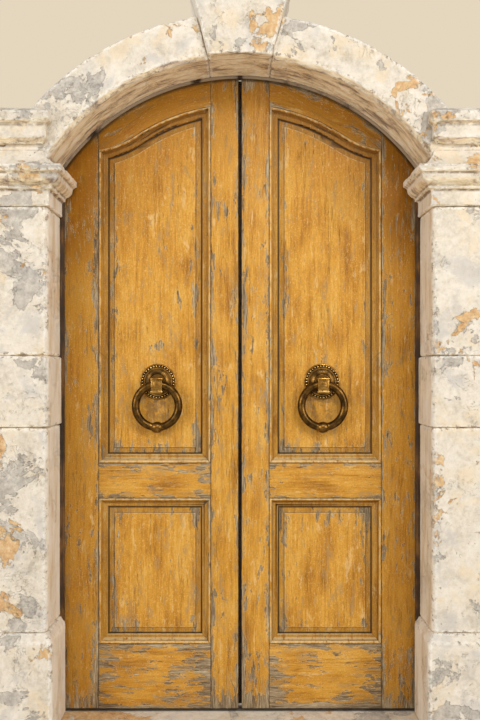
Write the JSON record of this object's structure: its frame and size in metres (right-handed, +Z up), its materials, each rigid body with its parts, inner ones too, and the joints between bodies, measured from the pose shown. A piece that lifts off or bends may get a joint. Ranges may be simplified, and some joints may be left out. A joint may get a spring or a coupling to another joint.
{
  "type": "arched double door with stone surround",
  "caption": "Arched double-leaf panelled timber door with ring knockers, hung in a rebated frame inside a moulded stone surround.",
  "frame": {"origin": "under the threshold, on the centreline, in the plane of the leaves' front face", "axes": "+Z up, +Y inwards through the doorway, +X to the right of someone who stands outside"},
  "size_m": [2.26, 0.425, 3.14],
  "materials": {
    "limewashed_stone": "worn limewash over pale stone, matt",
    "ochre_painted_wood": "old ochre paint, cracked and worn to grey wood",
    "dark_timber": "dark weathered timber",
    "aged_brass": "dark aged brass with bright worn edges",
    "dark_iron": "dark waxed iron"
  },
  "bodies": {
    "surround": {"threshold": "limewashed_stone", "keystone": "limewashed_stone", "left_plinth": "limewashed_stone", "right_plinth": "limewashed_stone", "left_lower_shaft_block": "limewashed_stone", "right_lower_shaft_block": "limewashed_stone", "left_middle_shaft_block": "limewashed_stone", "right_middle_shaft_block": "limewashed_stone", "left_upper_shaft_block": "limewashed_stone", "right_upper_shaft_block": "limewashed_stone", "left_capital": "limewashed_stone", "right_capital": "limewashed_stone", "left_impost_block": "limewashed_stone", "right_impost_block": "limewashed_stone", "left_arch_stone": "limewashed_stone", "right_arch_stone": "limewashed_stone", "left_frame_jamb": "dark_timber", "right_frame_jamb": "dark_timber", "left_frame_head": "dark_timber", "right_frame_head": "dark_timber", "left_hinge_frame_plates": "dark_iron", "right_hinge_frame_plates": "dark_iron", "left_hinge_pins": "dark_iron", "right_hinge_pins": "dark_iron", "top_bolt_keeper": "dark_iron"},
    "left_leaf": {"left_hanging_stile": "ochre_painted_wood", "left_meeting_stile": "ochre_painted_wood", "left_top_rail": "ochre_painted_wood", "left_lock_rail": "ochre_painted_wood", "left_bottom_rail": "ochre_painted_wood", "left_upper_panel": "ochre_painted_wood", "left_lower_panel": "ochre_painted_wood", "left_upper_moulding": "ochre_painted_wood", "left_lower_moulding": "ochre_painted_wood", "left_knocker_plate": "aged_brass", "left_knocker_nut": "dark_iron", "left_hinge_leaf_plates": "dark_iron", "left_top_bolt_plate": "dark_iron", "left_foot_bolt_plate": "dark_iron", "draw_bolt_keeper": "dark_iron"},
    "right_leaf": {"right_hanging_stile": "ochre_painted_wood", "right_meeting_stile": "ochre_painted_wood", "right_top_rail": "ochre_painted_wood", "right_lock_rail": "ochre_painted_wood", "right_bottom_rail": "ochre_painted_wood", "right_upper_panel": "ochre_painted_wood", "right_lower_panel": "ochre_painted_wood", "right_upper_moulding": "ochre_painted_wood", "right_lower_moulding": "ochre_painted_wood", "right_knocker_plate": "aged_brass", "right_knocker_nut": "dark_iron", "right_hinge_leaf_plates": "dark_iron", "right_draw_bolt_plate": "dark_iron"},
    "left_ring": {"left_knocker_ring": "aged_brass"},
    "right_ring": {"right_knocker_ring": "aged_brass"},
    "left_top_bolt": {"left_top_bolt_rod": "dark_iron"},
    "left_foot_bolt": {"left_foot_bolt_rod": "dark_iron"},
    "right_draw_bolt": {"right_draw_bolt_rod": "dark_iron"}
  },
  "joints": [
    {"name": "left_leaf_hinge", "type": "hinge", "parent": "surround", "child": "left_leaf", "pos_m": [-0.7575, 0.066, 0.14], "axis": [0, 0, 1], "range_deg": [0, 100]},
    {"name": "right_leaf_hinge", "type": "hinge", "parent": "surround", "child": "right_leaf", "pos_m": [0.7575, 0.066, 0.14], "axis": [0, 0, -1], "range_deg": [0, 100]},
    {"name": "left_ring_swing", "type": "hinge", "parent": "left_leaf", "child": "left_ring", "pos_m": [-0.35, -0.0235, 1.528], "axis": [-1, 0, 0], "range_deg": [-4, 100]},
    {"name": "right_ring_swing", "type": "hinge", "parent": "right_leaf", "child": "right_ring", "pos_m": [0.35, -0.0235, 1.528], "axis": [-1, 0, 0], "range_deg": [-4, 100]},
    {"name": "left_top_bolt_slide", "type": "slide", "parent": "left_leaf", "child": "left_top_bolt", "axis": [0, 0, 1], "range_m": [0, 0.045]},
    {"name": "left_foot_bolt_slide", "type": "slide", "parent": "left_leaf", "child": "left_foot_bolt", "axis": [0, 0, -1], "range_m": [0, 0.05]},
    {"name": "right_draw_bolt_slide", "type": "slide", "parent": "right_leaf", "child": "right_draw_bolt", "axis": [-1, 0, 0], "range_m": [0, 0.04]}
  ]
}
